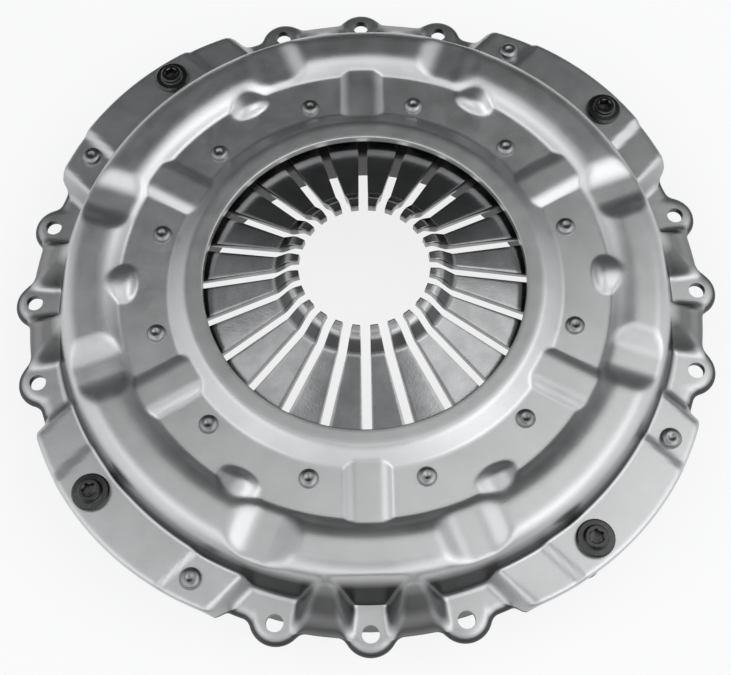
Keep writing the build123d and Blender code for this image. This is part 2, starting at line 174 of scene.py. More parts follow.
def outward(piece):
    """Makes every face point outwards."""
    work = bmesh.new()
    work.from_mesh(piece.data)
    bmesh.ops.remove_doubles(work, verts=work.verts, dist=1e-6)
    bmesh.ops.recalc_face_normals(work, faces=work.faces)
    work.to_mesh(piece.data)
    work.free()


def apply_modifiers(piece):
    """Bakes the modifiers into a plain mesh and removes them."""
    bpy.context.view_layer.update()
    graph = bpy.context.evaluated_depsgraph_get()
    mesh = bpy.data.meshes.new_from_object(piece.evaluated_get(graph), depsgraph=graph)
    piece.modifiers.clear()
    piece.data = mesh
    return piece


def lathe(name, profile, segments, pull=None):
    """Turns a closed (radius, height) profile about Z; pull may change a radius by its angle."""
    vertices, faces, rings = [], [], []
    for r, z in profile:
        if r == 0:
            rings.append([len(vertices)] * segments)
            vertices.append((0, 0, z))
            continue
        ring = []
        for k in range(segments):
            a = 2 * pi * k / segments
            rr = pull(r, z, a) if pull else r
            ring.append(len(vertices))
            vertices.append((rr * cos(a), rr * sin(a), z))
        rings.append(ring)
    for low, high in zip(rings, rings[1:]):
        for k in range(segments):
            n = (k + 1) % segments
            face = dict.fromkeys((low[k], low[n], high[n], high[k]))
            faces.append(tuple(face))
    return mesh_object(name, vertices, faces)


# --- Cover: the pressed sheet as two height fields, upper and lower ---
def smooth_max(a, b, k):
    h = np.clip(0.5 + 0.5 * (a - b) / k, 0, 1)
    return b + (a - b) * h + k * h * (1 - h)


def smooth_min(a, b, k):
    return -smooth_max(-a, -b, k)


def rounded_profile(points, radii, inset):
    """Radius and height along a line with rounded corners, moved down square to itself by inset."""
    out = []

    def put(point, normal):
        out.append((point[0] - inset * normal[0], point[1] - inset * normal[1]))

    steps = [np.subtract(q, p) / np.linalg.norm(np.subtract(q, p)) for p, q in zip(points, points[1:])]
    put(points[0], (-steps[0][1], steps[0][0]))
    for k, radius in enumerate(radii):
        before, after = steps[k], steps[k + 1]
        turn = np.arctan2(before[0] * after[1] - before[1] * after[0], before @ after)
        reach = radius * tan(abs(turn) / 2)
        start = np.array(points[k + 1]) - before * reach
        side = 1 if turn > 0 else -1
        first = np.array((-before[1], before[0]))
        centre = start + side * radius * first
        for step in np.linspace(0, turn, 9):
            normal = np.array((first[0] * cos(step) - first[1] * sin(step),
                               first[0] * sin(step) + first[1] * cos(step)))
            put(centre - side * radius * normal, normal)
    put(points[-1], (-steps[-1][1], steps[-1][0]))
    line = np.array(out)
    return line[:, 0], line[:, 1]


def cover_profile(inset):
    crown_r = RIDGE_FOOT_R + (RIDGE_Z - PAD_Z) / tan(RIDGE_FLANK)
    start_r = OPENING_R - 0.02
    points = [(start_r, LIP_CREST_Z - LIP_FALL * (LIP_CREST_R - start_r)), (LIP_CREST_R, LIP_CREST_Z),
              (LIP_FOOT_R, PAD_Z), (RIDGE_FOOT_R, PAD_Z), (crown_r, RIDGE_Z), (RIDGE_OUTER_R, RIDGE_Z),
              (WALL_FOOT_R, SHEET), (0.26, SHEET)]
    return rounded_profile(points, CORNER_RADII, inset)


def hat(u, top, half, run, inset, k):
    """A raised band seen across: flat top and sloping flanks."""
    top = top - inset
    half = half + inset * (run - sqrt(1 + run * run))
    return smooth_min(np.full_like(u, top), top + (half - np.abs(u)) / run, k)


def trough(u, floor, half, run, inset, k):
    """A sunk band seen across: flat floor and rising walls."""
    floor = floor - inset
    half = half + inset * (sqrt(1 + run * run) - run)
    return smooth_max(np.full_like(u, floor), floor + (np.abs(u) - half) / run, k)


def sheet_height(x, y, inset):
    """Height of the sheet's upper surface, or of its lower one when inset is the sheet."""
    r = np.hypot(x, y)
    z = np.interp(r, *cover_profile(inset))

    def turned_to(angle):
        return x * cos(angle) + y * sin(angle), y * cos(angle) - x * sin(angle)

    for k in range(6):
        v, u = turned_to(pi / 3 * (k + 0.5))
        here = (v > BRIDGE_START_R) & (v < BRIDGE_END_R)
        bridge = hat(u, BRIDGE_Z, BRIDGE_HALF, BRIDGE_RUN, inset, BRIDGE_ROUND)
        z = np.where(here, smooth_max(z, bridge, BRIDGE_JOIN), z)
        v, u = turned_to(pi / 3 * k)
        nose = np.clip(GUSSET_NOSE_RADIUS - (v - GUSSET_NOSE_R - inset), 0, GUSSET_NOSE_RADIUS)
        rho = GUSSET_RADIUS - inset - GUSSET_NOSE_RADIUS + np.sqrt(GUSSET_NOSE_RADIUS ** 2 - nose ** 2)
        barrel = GUSSET_AXIS_Z + np.sqrt(np.maximum(rho ** 2 - u ** 2, 0))
        here = (v > GUSSET_NOSE_R + inset) & (v < GUSSET_END_R) & (np.abs(u) < rho)
        z = np.where(here, smooth_max(z, barrel, GUSSET_JOIN), z)
    for k in range(4):
        v, u = turned_to(pi / 2 * (k + 0.5))
        seat = hat(u, SEAT_Z, SEAT_HALF, SEAT_RUN, inset, SEAT_ROUND)
        middle = hat(u, SEAT_MID_Z, SEAT_MID_HALF, 1.0, inset, SEAT_MID_ROUND)
        seat = smooth_max(seat, middle, SEAT_MID_ROUND)
        z = np.where(v > SEAT_START_R, smooth_max(z, seat, SEAT_JOIN), z)
    for k in range(4):
        v, u = turned_to(pi / 2 * k)
        wall = SHEET + (POCKET_START_R - v) * POCKET_SLOPE - inset * sqrt(1 + POCKET_SLOPE ** 2)
        pocket = trough(u, SHEET, POCKET_HALF, POCKET_RUN, inset, POCKET_ROUND)
        pocket = smooth_max(pocket, wall, POCKET_JOIN)
        sunk = np.maximum(smooth_min(z, pocket, POCKET_JOIN), np.minimum(z, SHEET - inset))
        z = np.where(v > POCKET_LIMIT_R, sunk, z)
        for side in (-1, 1):
            v, u = turned_to(pi / 2 * k + side * LOBE_PITCH / 2)
            slope = (RIB_TOP_Z - SHEET) / (RIB_END_R - RIB_TOP_R)
            back = RIB_TOP_Z + slope * (RIB_TOP_R - v) - inset * sqrt(1 + slope ** 2)
            back = np.where(v < RIB_TOP_R, np.minimum(np.interp(r, *cover_profile(inset)), back), back)
            half = RIB_HALF - inset * sqrt(1 + RIB_RUN ** 2)
            flank = SHEET + (half - np.sqrt(u * u + RIB_CREST_HALF ** 2) + RIB_CREST_LIFT) / RIB_RUN
            rib = smooth_min(back, flank, RIB_ROUND)
            join = RIB_JOIN + RIB_JOIN_GROWTH * np.clip((v - RIB_TOP_R) / RIB_JOIN_RUN, 0, 1)
            joined = smooth_max(z, rib, join)
            z += (joined - z) * np.clip((v - RIB_START_R) / RIB_FADE, 0, 1)
    for k in range(4):
        for side in (-1, 1):
            v, u = turned_to(pi / 2 * k + side * GROOVE_ANGLE)
            groove = trough(u, GROOVE_FLOOR_Z, GROOVE_HALF, GROOVE_RUN, inset, GROOVE_ROUND)
            z = np.where(v > GROOVE_START_R - inset, smooth_min(z, groove, GROOVE_JOIN), z)
    return z


def outline_radius(angle):
    """Polar radius of the cover's outer edge."""
    sector = (angle + pi / 4) % (pi / 2) - pi / 4
    radius = VALLEY_R
    centre = LOBE_TIP_R - LOBE_RADIUS
    far = VALLEY_R + VALLEY_RADIUS
    near = LOBE_RADIUS + VALLEY_RADIUS
    spread = np.arccos((centre ** 2 + far ** 2 - near ** 2) / (2 * centre * far))
    touch_x = centre + (far * cos(spread) - centre) * LOBE_RADIUS / near
    touch_y = far * sin(spread) * LOBE_RADIUS / near
    touch = np.arctan2(touch_y, touch_x)
    for middle in (-LOBE_PITCH, 0, LOBE_PITCH):
        off = abs(sector - middle)
        if off < touch:
            radius = centre * cos(off) + sqrt(LOBE_RADIUS ** 2 - (centre * sin(off)) ** 2)
        elif off < spread:
            radius = far * cos(spread - off) - sqrt(VALLEY_RADIUS ** 2 - (far * sin(spread - off)) ** 2)
    off = abs(angle % (pi / 2) - pi / 4)
    reach = SEAT_EDGE_R - SEAT_EDGE_RADIUS
    arc = reach * cos(off) + sqrt(SEAT_EDGE_RADIUS ** 2 - (reach * sin(off)) ** 2)
    edge = np.clip((SEAT_END_ANGLE - off) / SEAT_END_FADE, 0, 1)
    return max(radius, VALLEY_R + (arc - VALLEY_R) * edge * edge * (3 - 2 * edge))


def cover_angles():
    """Angles round the cover, closer together at the lobes than at the strap seats."""
    lobe_half, fine, coarse = radians(24), 118, 54
    lobes = np.linspace(-lobe_half, lobe_half, fine, endpoint=False)
    seats = np.linspace(lobe_half, pi / 2 - lobe_half, coarse, endpoint=False)
    quarter = np.concatenate([lobes, seats])
    return np.concatenate([quarter + pi / 2 * k for k in range(4)])


def stations(spans):
    """Radii from (start, end, count) spans."""
    parts = [np.linspace(a, b, n, endpoint=False) for a, b, n in spans]
    return np.concatenate(parts)


def cover_mesh():
    angles = cover_angles()
    edge_r = np.array([outline_radius(a) for a in angles])
    round_r = np.concatenate([edge_r[-2:], edge_r, edge_r[:2]])
    round_angle = np.concatenate([angles[-2:] - 2 * pi, angles, angles[:2] + 2 * pi])
    slope = np.gradient(round_r)[2:-2] / np.gradient(round_angle)[2:-2] / edge_r
    lean = 1 / np.sqrt(1 + slope ** 2)
    count = len(angles)
    # Rows as (from, to, how many), closer where the sheet bends; past flange_r they fan out to the edge
    rounded_r, flange_r = OPENING_R + OPENING_ROUND, 0.2125
    upper = stations([(OPENING_R, rounded_r, 3), (rounded_r, 0.117, 5), (0.117, 0.132, 12), (0.132, 0.148, 5),
                      (0.148, 0.162, 10), (0.162, 0.180, 12), (0.180, 0.192, 6), (0.192, flange_r, 22)])
    lower = stations([(OPENING_R, 0.120, 4), (0.120, 0.166, 12), (0.166, 0.190, 6), (0.190, flange_r, 14)])
    rim = 1 - (1 - np.linspace(0, 1, 14)) ** 1.5
    low_rim = np.linspace(0, 1, 8)

    def surface(inner, rim_steps, inset):
        """Points of the upper surface, with its rolled outer edge, or of the lower one."""
        radii = np.vstack([np.repeat(inner[:, None], count, 1),
                           flange_r + rim_steps[:, None] * (edge_r - flange_r)])
        x, y = radii * np.cos(angles), radii * np.sin(angles)
        z = sheet_height(x, y, inset)
        if inset:
            return x, y, np.maximum(z, 0)
        off_diagonal = np.abs(angles % (pi / 2) - pi / 4)
        lobed = np.clip((off_diagonal - SEAT_ROLL_END) / SEAT_ROLL_FADE, 0, 1)
        width = SEAT_ROLL_WIDTH + (ROLL_WIDTH - SEAT_ROLL_WIDTH) * lobed
        drop = SEAT_ROLL_DROP + (ROLL_DROP - SEAT_ROLL_DROP) * lobed
        share = 1 - np.clip((edge_r - radii) * lean / width, 0, 1)
        z -= drop * (1 - np.sqrt(1 - share ** ROLL_CURVE))
        inside = np.clip(OPENING_ROUND - (radii - OPENING_R), 0, OPENING_ROUND)
        return x, y, z - OPENING_ROUND + np.sqrt(OPENING_ROUND ** 2 - inside ** 2)

    vertices, faces = [], []

    def grid(x, y, z, flip):
        """Adds a surface's faces and returns where its inner and outer rows start."""
        base, rows = len(vertices), len(x)
        vertices.extend(zip(x.ravel(), y.ravel(), z.ravel()))
        for i in range(rows - 1):
            for j in range(count):
                n = (j + 1) % count
                quad = [base + i * count + j, base + (i + 1) * count + j, base + (i + 1) * count + n,
                        base + i * count + n]
                faces.append(quad[::-1] if flip else quad)
        return base, base + (rows - 1) * count

    top_in, top_out = grid(*surface(upper, rim, 0), False)
    low_in, low_out = grid(*surface(lower, low_rim, SHEET), True)
    for j in range(count):
        n = (j + 1) % count
        faces.append((top_in + j, top_in + n, low_in + n, low_in + j))
        faces.append((top_out + j, low_out + j, low_out + n, top_out + n))
    return mesh_object("cover_sheet", vertices, faces)


def cutter(places):
    """Punches for round holes: (x, y, radius) each."""
    vertices, faces = [], []
    sides, low, high = 40, -0.02, 0.06
    for x, y, radius in places:
        base = len(vertices)
        for z in (low, high):
            for k in range(sides):
                a = 2 * pi * k / sides
                vertices.append((x + radius * cos(a), y + radius * sin(a), z))
        for k in range(sides):
            n = (k + 1) % sides
            faces.append((base + k, base + n, base + sides + n, base + sides + k))
        faces.append(tuple(base + k for k in reversed(range(sides))))
        faces.append(tuple(base + sides + k for k in range(sides)))
    return mesh_object("punches", vertices, faces, smooth=False)


def on_diagonals(spot):
    """A spot given along and across a diagonal, on all four diagonals."""
    along, across = spot
    out = []
    for k in range(4):
        a = pi / 4 + pi / 2 * k
        out.append((along * cos(a) - across * sin(a), along * sin(a) + across * cos(a)))
    return out


def make_cover():
    """The pressed sheet with its screw and bolt holes punched."""
    piece = cover_mesh()
    places = [(BOLT_CIRCLE_R * cos(a), BOLT_CIRCLE_R * sin(a), FLANGE_HOLE_R)
              for k in range(4) for a in (pi / 2 * k - LOBE_PITCH, pi / 2 * k, pi / 2 * k + LOBE_PITCH)]
    places += [(x, y, BOLT_HOLE_R) for x, y in on_diagonals(BOLT_AT)]
    punches = cutter(places)
    cut = piece.modifiers.new("punch", "BOOLEAN")
    cut.operation = "DIFFERENCE"
    cut.solver = "MANIFOLD"
    cut.object = punches
    apply_modifiers(piece)
    bpy.data.objects.remove(punches)
    crisp(piece, 42)
    return piece


# --- Nodes: shared by the trees, the finishes and the room ---
class Nodes:
    """Adds nodes to a node tree; a plain value goes onto the socket itself."""

    def __init__(self, tree):
        self.tree = tree

    def join(self, value, socket):
        if isinstance(value, bpy.types.NodeSocket):
            self.tree.links.new(value, socket)
        else:
            socket.default_value = value

    def add(self, kind, settings=None, **inputs):
        node = self.tree.nodes.new(kind)
        for key, value in (settings or {}).items():
            setattr(node, key, value)
        for key, value in inputs.items():
            self.join(value, node.inputs[key.replace("_", " ")])
        return node

    def fill(self, node, values):
        """Fills the node's first sockets in their order and returns its first output."""
        for socket, value in zip(node.inputs, values):
            self.join(value, socket)
        return node.outputs[0]

    def math(self, operation, *values):
        return self.fill(self.add("ShaderNodeMath", {"operation": operation}), values)

    def span(self, value, low, high, to_low, to_high, shape="LINEAR"):
        node = self.add("ShaderNodeMapRange", {"interpolation_type": shape})
        return self.fill(node, (value, low, high, to_low, to_high))


# --- Node trees: shapes that repeat or follow a rule ---
class Tree(Nodes):
    """A Geometry Nodes tree with named inputs."""

    def __init__(self, name, inputs):
        super().__init__(bpy.data.node_groups.new(name, "GeometryNodeTree"))
        face = self.tree.interface
        face.new_socket(name="Geometry", in_out="INPUT", socket_type="NodeSocketGeometry")
        self.ids = {}
        for label, kind, value in inputs:
            socket = face.new_socket(name=label, in_out="INPUT", socket_type=kind)
            if value is not None:
                socket.default_value = value
            self.ids[label] = socket.identifier
        face.new_socket(name="Geometry", in_out="OUTPUT", socket_type="NodeSocketGeometry")
        self.entry = self.tree.nodes.new("NodeGroupInput")
        self.exit = self.tree.nodes.new("NodeGroupOutput")

    def feed(self, label):
        return self.entry.outputs[label]

    def turned_copies(self, points, piece, angle):
        """A copy of the piece on each point, turned about Z."""
        turn = self.add("ShaderNodeCombineXYZ", Z=angle)
        euler = self.add("FunctionNodeEulerToRotation", Euler=turn.outputs[0])
        copies = self.add("GeometryNodeInstanceOnPoints", Points=points, Instance=piece,
                          Rotation=euler.outputs[0])
        return copies.outputs[0]

    def end(self, geometry, material):
        real = self.add("GeometryNodeRealizeInstances", Geometry=geometry)
        merged = self.add("GeometryNodeMergeByDistance", Geometry=real.outputs[0], Distance=0.00002)
        painted = self.add("GeometryNodeSetMaterial", Geometry=merged.outputs[0])
        self.join(material, painted.inputs["Material"])
        self.tree.links.new(painted.outputs[0], self.exit.inputs[0])


def run_tree(name, tree, values, start=None):
    """Runs a tree on a piece of mesh and keeps the result as a plain mesh."""
    piece = start or mesh_object(name, [(0, 0, 0)], [])
    piece.name = name
    modifier = piece.modifiers.new("build", "NODES")
    modifier.node_group = tree.tree
    for label, value in values.items():
        modifier[tree.ids[label]] = value
    return apply_modifiers(piece)


def ring_tree():
    """Copies of one piece, evenly spaced round the clutch axis, each turned with its place."""
    tree = Tree("pieces_round_the_axis", [("Count", "NodeSocketInt", 12),
                                          ("Radius", "NodeSocketFloat", FULCRUM_RIVET_R),
                                          ("First Angle", "NodeSocketFloat", 0.0),
                                          ("Own Turn", "NodeSocketFloat", 0.0),
                                          ("Finish", "NodeSocketMaterial", None)])
    count = tree.feed("Count")
    points = tree.add("GeometryNodePoints", Count=count)
    index = tree.add("GeometryNodeInputIndex").outputs[0]
    step = tree.math("DIVIDE", 2 * pi, count)
    angle = tree.math("ADD", tree.math("MULTIPLY", index, step), tree.feed("First Angle"))
    x = tree.math("MULTIPLY", tree.math("COSINE", angle), tree.feed("Radius"))
    y = tree.math("MULTIPLY", tree.math("SINE", angle), tree.feed("Radius"))
    place = tree.add("ShaderNodeCombineXYZ", X=x, Y=y)
    placed = tree.add("GeometryNodeSetPosition", Geometry=points.outputs[0], Position=place.outputs[0])
    turned = tree.math("ADD", angle, tree.feed("Own Turn"))
    copies = tree.turned_copies(placed.outputs[0], tree.feed("Geometry"), turned)
    tree.end(copies, tree.feed("Finish"))
    return tree


def finger_tree():
    """The diaphragm spring's middle surface: one finger worked out by rule, repeated round the axis."""
    lengths = [("Tip Radius", 0.0423), ("Knee Radius", 0.0485), ("Bend Radius", 0.058),
               ("Outer Radius", SPRING_OUTER_R), ("Pivot Radius", RING_R), ("Pivot Height", PIVOT_Z),
               ("Slope", SPRING_SLOPE), ("Ramp", 1.11), ("Tip Rise", 0.085), ("Slot Width", 0.0062),
               ("Slot End", 0.1295), ("Window End", 0.151), ("Window Width", 0.014)]
    bend_round, tip_round = 0.0016, 0.0030
    rows, columns, crowding = 90, 9, 1.35      # the rows crowd towards the tip
    tree = Tree("slotted_cone_spring", [(label, "NodeSocketFloat", value) for label, value in lengths]
                + [("Fingers", "NodeSocketInt", FINGERS), ("Finish", "NodeSocketMaterial", None)])
    m, feed = tree.math, tree.feed

    def line(start_z, slope, start_r, r):
        """Height on a straight line that rises towards the axis from a place on it."""
        return m("ADD", start_z, m("MULTIPLY", feed(slope), m("SUBTRACT", feed(start_r), r)))

    grid = tree.add("GeometryNodeMeshGrid", Size_X=1.0, Size_Y=1.0, Vertices_X=rows, Vertices_Y=columns)
    at = tree.add("ShaderNodeSeparateXYZ", Vector=tree.add("GeometryNodeInputPosition").outputs[0])
    along = m("POWER", m("ADD", at.outputs["X"], 0.5), crowding)
    reach = m("SUBTRACT", feed("Outer Radius"), feed("Tip Radius"))
    r = m("ADD", feed("Tip Radius"), m("MULTIPLY", along, reach))
    cone = line(feed("Pivot Height"), "Slope", "Pivot Radius", r)
    bend_z = line(feed("Pivot Height"), "Slope", "Pivot Radius", feed("Bend Radius"))
    ramp = line(bend_z, "Ramp", "Bend Radius", r)
    knee_z = line(bend_z, "Ramp", "Bend Radius", feed("Knee Radius"))
    tip = line(knee_z, "Tip Rise", "Knee Radius", r)
    z = m("SMOOTH_MIN", m("SMOOTH_MAX", cone, ramp, bend_round), tip, tip_round)
    slot = m("MULTIPLY", m("MULTIPLY", feed("Slot Width"), 0.5), m("LESS_THAN", r, feed("Slot End")))
    in_window = m("MULTIPLY", m("GREATER_THAN", r, feed("Slot End")), m("LESS_THAN", r, feed("Window End")))
    window = m("MULTIPLY", m("MULTIPLY", feed("Window Width"), 0.5), in_window)
    half_pitch = m("DIVIDE", pi, feed("Fingers"))
    half = m("SUBTRACT", m("MULTIPLY", r, m("TANGENT", half_pitch)), m("ADD", slot, window))
    side = m("MULTIPLY", at.outputs["Y"], m("MULTIPLY", half, 2.0))
    flat = m("SQRT", m("SUBTRACT", m("MULTIPLY", r, r), m("MULTIPLY", side, side)))
    place = tree.add("ShaderNodeCombineXYZ", X=flat, Y=side, Z=z)
    finger = tree.add("GeometryNodeSetPosition", Geometry=grid.outputs[0], Position=place.outputs[0])
    points = tree.add("GeometryNodePoints", Count=feed("Fingers"))
    index = tree.add("GeometryNodeInputIndex").outputs[0]
    angle = m("MULTIPLY", m("ADD", index, 0.5), m("MULTIPLY", half_pitch, 2.0))
    tree.end(tree.turned_copies(points.outputs[0], finger.outputs[0], angle), feed("Finish"))
    return tree


# --- Finishes ---
class Finish(Nodes):
    """A material built from nodes round one Principled shader."""

    def __init__(self, name, **sockets):
        self.material = bpy.data.materials.new(name)
        self.material.use_nodes = True
        super().__init__(self.material.node_tree)
        self.shader = self.tree.nodes["Principled BSDF"]
        for key, value in sockets.items():
            self.shader.inputs[key.replace("_", " ")].default_value = value
        self.place = self.add("ShaderNodeTexCoord").outputs["Object"]

    def noise(self, scale, detail=3.0, rough=0.55, stretch=None):
        vector = self.place
        if stretch:
            vector = self.add("ShaderNodeMapping", Vector=vector, Scale=stretch).outputs[0]
        return self.add("ShaderNodeTexNoise", Vector=vector, Scale=scale, Detail=detail,
                        Roughness=rough).outputs["Fac"]

    def band(self, value, rise, fall, top=1.0):
        """Rises from 0 to top over the first span and falls back over the second."""
        return self.math("MULTIPLY", self.span(value, *rise, 0.0, top), self.span(value, *fall, 1.0, 0.0))

    def mix(self, factor, a, b):
        node = self.add("ShaderNodeMix", {"data_type": "RGBA"})
        self.join(factor, node.inputs[0])
        self.join(a, node.inputs[6])
        self.join(b, node.inputs[7])
        return node.outputs[2]

    def parts(self, vector):
        split = self.add("ShaderNodeSeparateXYZ", Vector=vector)
        return [split.outputs[axis] for axis in "XYZ"]

    def normal(self):
        return self.parts(self.add("ShaderNodeNewGeometry").outputs["Normal"])

    def radius(self):
        x, y = self.parts(self.place)[:2]
        return self.math("SQRT", self.math("ADD", self.math("MULTIPLY", x, x), self.math("MULTIPLY", y, y)))

    def steepness(self):
        """0 on level faces, 1 on upright ones."""
        return self.math("SUBTRACT", 1.0, self.math("ABSOLUTE", self.normal()[2]))

    def bump(self, height, strength, distance):
        bump = self.add("ShaderNodeBump", Height=height, Strength=strength, Distance=distance)
        self.join(bump.outputs[0], self.shader.inputs["Normal"])

    def colour(self, socket):
        self.join(socket, self.shader.inputs["Base Color"])

    def roughness(self, socket):
        self.join(socket, self.shader.inputs["Roughness"])


def grey(value):
    return (value, value, value, 1.0)


def pressed_steel():
    """Satin pressed sheet: grain and faint mottling, with painted shade on the outer wall, the ribs and the
    rolled edge.
    """
    wall_facing, wall_r, wall_z = (0.5, 0.9), (0.215, 0.222), (0.024, 0.037)
    crown_r, crown_share = (0.184, 0.194), 0.6
    lobe_zone, lobe_shade = (0.55, 1.4), 0.80
    shade_slope, shade_strength = (0.02, 0.30), 0.97
    rolled_slope, rolled_z, rolled_shade = (0.01, 0.14), (0.0044, 0.0049), 0.92
    f = Finish("satin_pressed_steel", Metallic=1.0)
    grain = f.noise(900.0, 2.0)
    mottle = f.noise(55.0, 5.0, 0.6)
    cloud = f.noise(14.0, 3.0)
    tone = f.math("ADD", f.math("MULTIPLY", mottle, 0.5), f.math("MULTIPLY", cloud, 0.5))
    base = f.mix(f.span(tone, 0.35, 0.65, 0.0, 1.0), grey(0.55), grey(0.62))
    x, y, height = f.parts(f.place)
    normal = f.normal()
    r = f.radius()
    outwards = f.math("ADD", f.math("MULTIPLY", x, normal[0]), f.math("MULTIPLY", y, normal[1]))
    outwards = f.math("ABSOLUTE", f.math("DIVIDE", outwards, r))
    wall = f.math("MULTIPLY", f.span(outwards, *wall_facing, 0.0, 1.0), f.span(r, *wall_r, 1.0, 0.0))
    diagonal = f.math("DIVIDE", f.math("MULTIPLY", x, y), f.math("MULTIPLY", r, r))
    from_lobes = f.math("MULTIPLY", f.math("MULTIPLY", diagonal, diagonal), 8.0)   # 0 at the lobes, 2 between
    lobes = f.span(from_lobes, *lobe_zone, lobe_shade, 0.0)
    low = f.math("MULTIPLY", f.span(height, *wall_z, 1.0, 0.0), f.span(r, *crown_r, crown_share, 1.0))
    steep = f.steepness()
    # drawn is painted shade: the steep, low outer wall and the ribs and pockets of the lobes go towards
    # near-black, less near the crown
    drawn = f.math("MULTIPLY", low, f.math("MAXIMUM", wall, lobes))
    drawn = f.math("MULTIPLY", f.span(steep, *shade_slope, 0.0, shade_strength), drawn)
    # rolled is painted shade on the steep rim of the rolled outer edge, low down on the flange
    rolled = f.span(steep, *rolled_slope, 0.0, rolled_shade)
    rolled = f.math("MULTIPLY", rolled, f.span(height, *rolled_z, 1.0, 0.0))
    # Both painted shades mix the sheet's colour towards near-black
    f.colour(f.mix(f.math("MAXIMUM", drawn, rolled), base, grey(0.035)))
    f.roughness(f.span(f.math("ADD", grain, mottle), 0.7, 1.3, 0.33, 0.42))
    scratch = f.noise(260.0, 3.0, 0.6, (1.0, 9.0, 1.0))
    f.bump(f.math("ADD", grain, f.math("MULTIPLY", scratch, 0.6)), 0.22, 0.0002)
    return f.material


def spring_steel():
    """Dark tempered steel, rubbed bright where the release bearing runs, with painted shade along the
    fingers' bend.
    """
    rub_rise, rub_fall = (0.0450, 0.0465), (0.0500, 0.0515)
    bend_shade_rise, bend_shade_fall, bend_shade_strength = (0.0505, 0.0520), (0.0570, 0.0590), 0.8
    f = Finish("tempered_spring_steel", Metallic=1.0)
    r = f.radius()
    grain = f.noise(700.0, 3.0)
    mottle = f.noise(70.0, 4.0)
    worn = f.math("MULTIPLY", f.band(r, rub_rise, rub_fall), f.span(mottle, 0.3, 0.6, 0.75, 1.0))
    body = f.mix(f.span(mottle, 0.35, 0.65, 0.0, 1.0), grey(0.26), grey(0.33))
    # Painted shade along the fingers' bend: the body goes towards near-black in a band
    body = f.mix(f.band(r, bend_shade_rise, bend_shade_fall, bend_shade_strength), body, grey(0.06))
    f.colour(f.mix(worn, body, grey(0.38)))
    f.roughness(f.span(worn, 0.0, 1.0, 0.20, 0.22))
    f.bump(grain, 0.3, 0.0002)
    return f.material


def black_oxide():
    """Blackened steel, worn a little grey in spots."""
    f = Finish("black_oxide_screw", Metallic=1.0)
    grain = f.noise(1200.0, 2.0)
    wear = f.span(f.noise(420.0, 4.0), 0.60, 0.72, 0.0, 0.5)
    f.colour(f.mix(wear, grey(0.075), grey(0.20)))
    f.roughness(f.span(grain, 0.3, 0.7, 0.24, 0.34))
    f.bump(grain, 0.2, 0.0001)
    return f.material


def plain_steel(name, dark, light, rough_low, rough_high, scale):
    """Plain bright steel: drawn wire, rivets, rolled strip, turned sleeves."""
    f = Finish(name, Metallic=1.0)
    grain = f.noise(scale, 3.0)
    stain = f.noise(scale * 0.12, 4.0)
    f.colour(f.mix(f.span(stain, 0.35, 0.65, 0.0, 1.0), dark, light))
    f.roughness(f.span(grain, 0.3, 0.7, rough_low, rough_high))
    f.bump(grain, 0.25, 0.00015)
    return f.material


def cast_iron():
    """Grey iron: sand-cast skin all over, turned bright on the friction face."""
    turning_marks, face_depth = 9000.0, 0.0004
    f = Finish("grey_cast_iron", Metallic=1.0)
    turned = f.math("LESS_THAN", f.parts(f.place)[2], PLATE_FACE_Z + face_depth)
    rings = f.math("SINE", f.math("MULTIPLY", f.radius(), turning_marks))
    skin = f.noise(420.0, 5.0, 0.65)
    base = f.mix(skin, grey(0.10), grey(0.19))
    f.colour(f.mix(turned, base, grey(0.46)))
    f.roughness(f.span(turned, 0.0, 1.0, 0.62, 0.30))
    f.bump(f.mix(turned, skin, f.math("MULTIPLY", rings, 0.15)), 0.5, 0.0004)
    return f.material


def pale_floor():
    """A pale floor that takes the shadow, and looks nearly white seen straight or in the metal."""
    white_share = 0.82
    f = Finish("pale_floor", Roughness=0.9, Metallic=0.0)
    f.colour(f.mix(f.noise(3.0), grey(0.86), grey(0.88)))
    path = f.add("ShaderNodeLightPath")
    seen = f.math("MAXIMUM", path.outputs["Is Camera Ray"],
                  f.math("MAXIMUM", path.outputs["Is Glossy Ray"], path.outputs["Is Transmission Ray"]))
    white = f.add("ShaderNodeEmission", Color=grey(1), Strength=1.0)
    blend = f.fill(f.add("ShaderNodeMixShader"), (f.math("MULTIPLY", seen, white_share), f.shader.outputs[0],
                                                  white.outputs[0]))
    f.join(blend, f.tree.nodes["Material Output"].inputs["Surface"])
    return f.material


# --- Fasteners ---
def rivet_profile(shank_r, head_r, seat_z, head_h, tail_r, tail_z, tail_h):
    """A rivet from tail to dimpled head."""
    top = seat_z + head_h
    tail = [(0, tail_z - tail_h), (tail_r * 0.94, tail_z - tail_h), (tail_r, tail_z - tail_h * 0.85),
            (tail_r, tail_z), (shank_r, tail_z), (shank_r, seat_z)]
    dome = [(head_r * across, seat_z + head_h * up) for across, up in
            ((1.0, 0.0), (1.0, 0.28), (0.965, 0.48), (0.88, 0.70), (0.74, 0.88), (0.56, 0.98), (0.40, 1.0))]
    dimple = [(head_r * 0.33, top - 0.0002), (head_r * 0.18, top - 0.0007), (0, top - 0.0009)]
    return tail + dome + dimple


